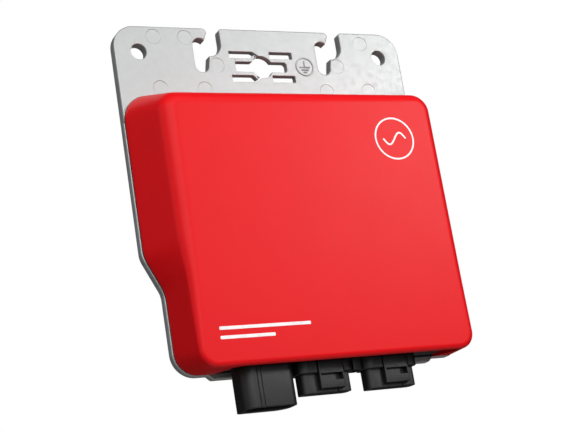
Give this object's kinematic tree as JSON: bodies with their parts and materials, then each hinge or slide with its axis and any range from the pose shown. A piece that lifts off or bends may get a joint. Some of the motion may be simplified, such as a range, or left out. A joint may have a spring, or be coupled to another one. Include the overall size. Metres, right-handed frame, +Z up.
{
  "type": "micro inverter",
  "caption": "Flat micro inverter: a cast hanging plate with hooks, a rounded red cover and downward connectors for a solar module and the ac bus.",
  "frame": {"origin": "centre of the mounting plate's flat back face", "axes": "+X to the right seen from the front, +Z up, the front faces -Y"},
  "size_m": [0.188, 0.0442, 0.231],
  "materials": {
    "cast_plate": "fine cast surface with a light grey satin coat",
    "red_cover": "moulded red, satin gloss",
    "black_plastic": "moulded black with a fine satin grain",
    "component_black": "moulded epoxy",
    "seal_rubber": "soft seal",
    "contact_brass": "plated contact",
    "screw_steel": "zinc plated",
    "board_green": "solder mask",
    "pad_grey": "soft heat pad",
    "ferrite": "sintered",
    "copper_winding": "enamelled wire",
    "can_blue": "sleeved can",
    "film_yellow": "moulded box",
    "shield_steel": "tinned shield"
  },
  "bodies": {
    "housing": {"mounting_plate": "cast_plate", "cover_gasket": "seal_rubber", "front_cover": "red_cover", "cover_screw_1": "screw_steel", "cover_screw_2": "screw_steel", "cover_screw_3": "screw_steel", "cover_screw_4": "screw_steel", "connector_panel": "black_plastic", "dc_connector_shroud": "black_plastic", "dc_pin_carrier": "black_plastic", "dc_face_seal": "seal_rubber", "dc_pin_1": "contact_brass", "dc_pin_2": "contact_brass", "ac_connector_shroud_left": "black_plastic", "ac_pin_carrier_left": "black_plastic", "ac_face_seal_left": "seal_rubber", "ac_pin_left_1": "contact_brass", "ac_pin_left_2": "contact_brass", "ac_pin_left_3": "contact_brass", "ac_connector_shroud_right": "black_plastic", "ac_pin_carrier_right": "black_plastic", "ac_face_seal_right": "seal_rubber", "ac_pin_right_1": "contact_brass", "ac_pin_right_2": "contact_brass", "ac_pin_right_3": "contact_brass", "main_circuit_board": "board_green", "standoff_1": "contact_brass", "board_screw_1": "screw_steel", "standoff_2": "contact_brass", "board_screw_2": "screw_steel", "standoff_3": "contact_brass", "board_screw_3": "screw_steel", "standoff_4": "contact_brass", "board_screw_4": "screw_steel", "thermal_pad": "pad_grey", "transistor_1": "component_black", "transistor_2": "component_black", "transistor_3": "component_black", "transistor_4": "component_black", "transformer_core_upper": "ferrite", "transformer_core_lower": "ferrite", "transformer_winding": "copper_winding", "bulk_capacitor_1": "can_blue", "bulk_capacitor_2": "can_blue", "bulk_capacitor_3": "can_blue", "bulk_capacitor_4": "can_blue", "film_capacitor": "film_yellow", "choke_core": "ferrite", "choke_winding": "copper_winding", "relay": "component_black", "comms_module": "shield_steel"},
    "upper_tongue": {"upper_snap_tongue": "cast_plate"},
    "lower_tongue": {"lower_snap_tongue": "cast_plate"}
  },
  "joints": [
    {"name": "upper_tongue_flex", "type": "hinge", "parent": "housing", "child": "upper_tongue", "pos_m": [-0.0192, -0.0044, 0.08465], "axis": [0, -1, 0], "range_deg": [0, 3.5], "stiffness_Nm_per_rad": 0.05},
    {"name": "lower_tongue_flex", "type": "hinge", "parent": "housing", "child": "lower_tongue", "pos_m": [-0.0192, -0.0044, 0.07605], "axis": [0, 1, 0], "range_deg": [0, 3.5], "stiffness_Nm_per_rad": 0.05}
  ]
}
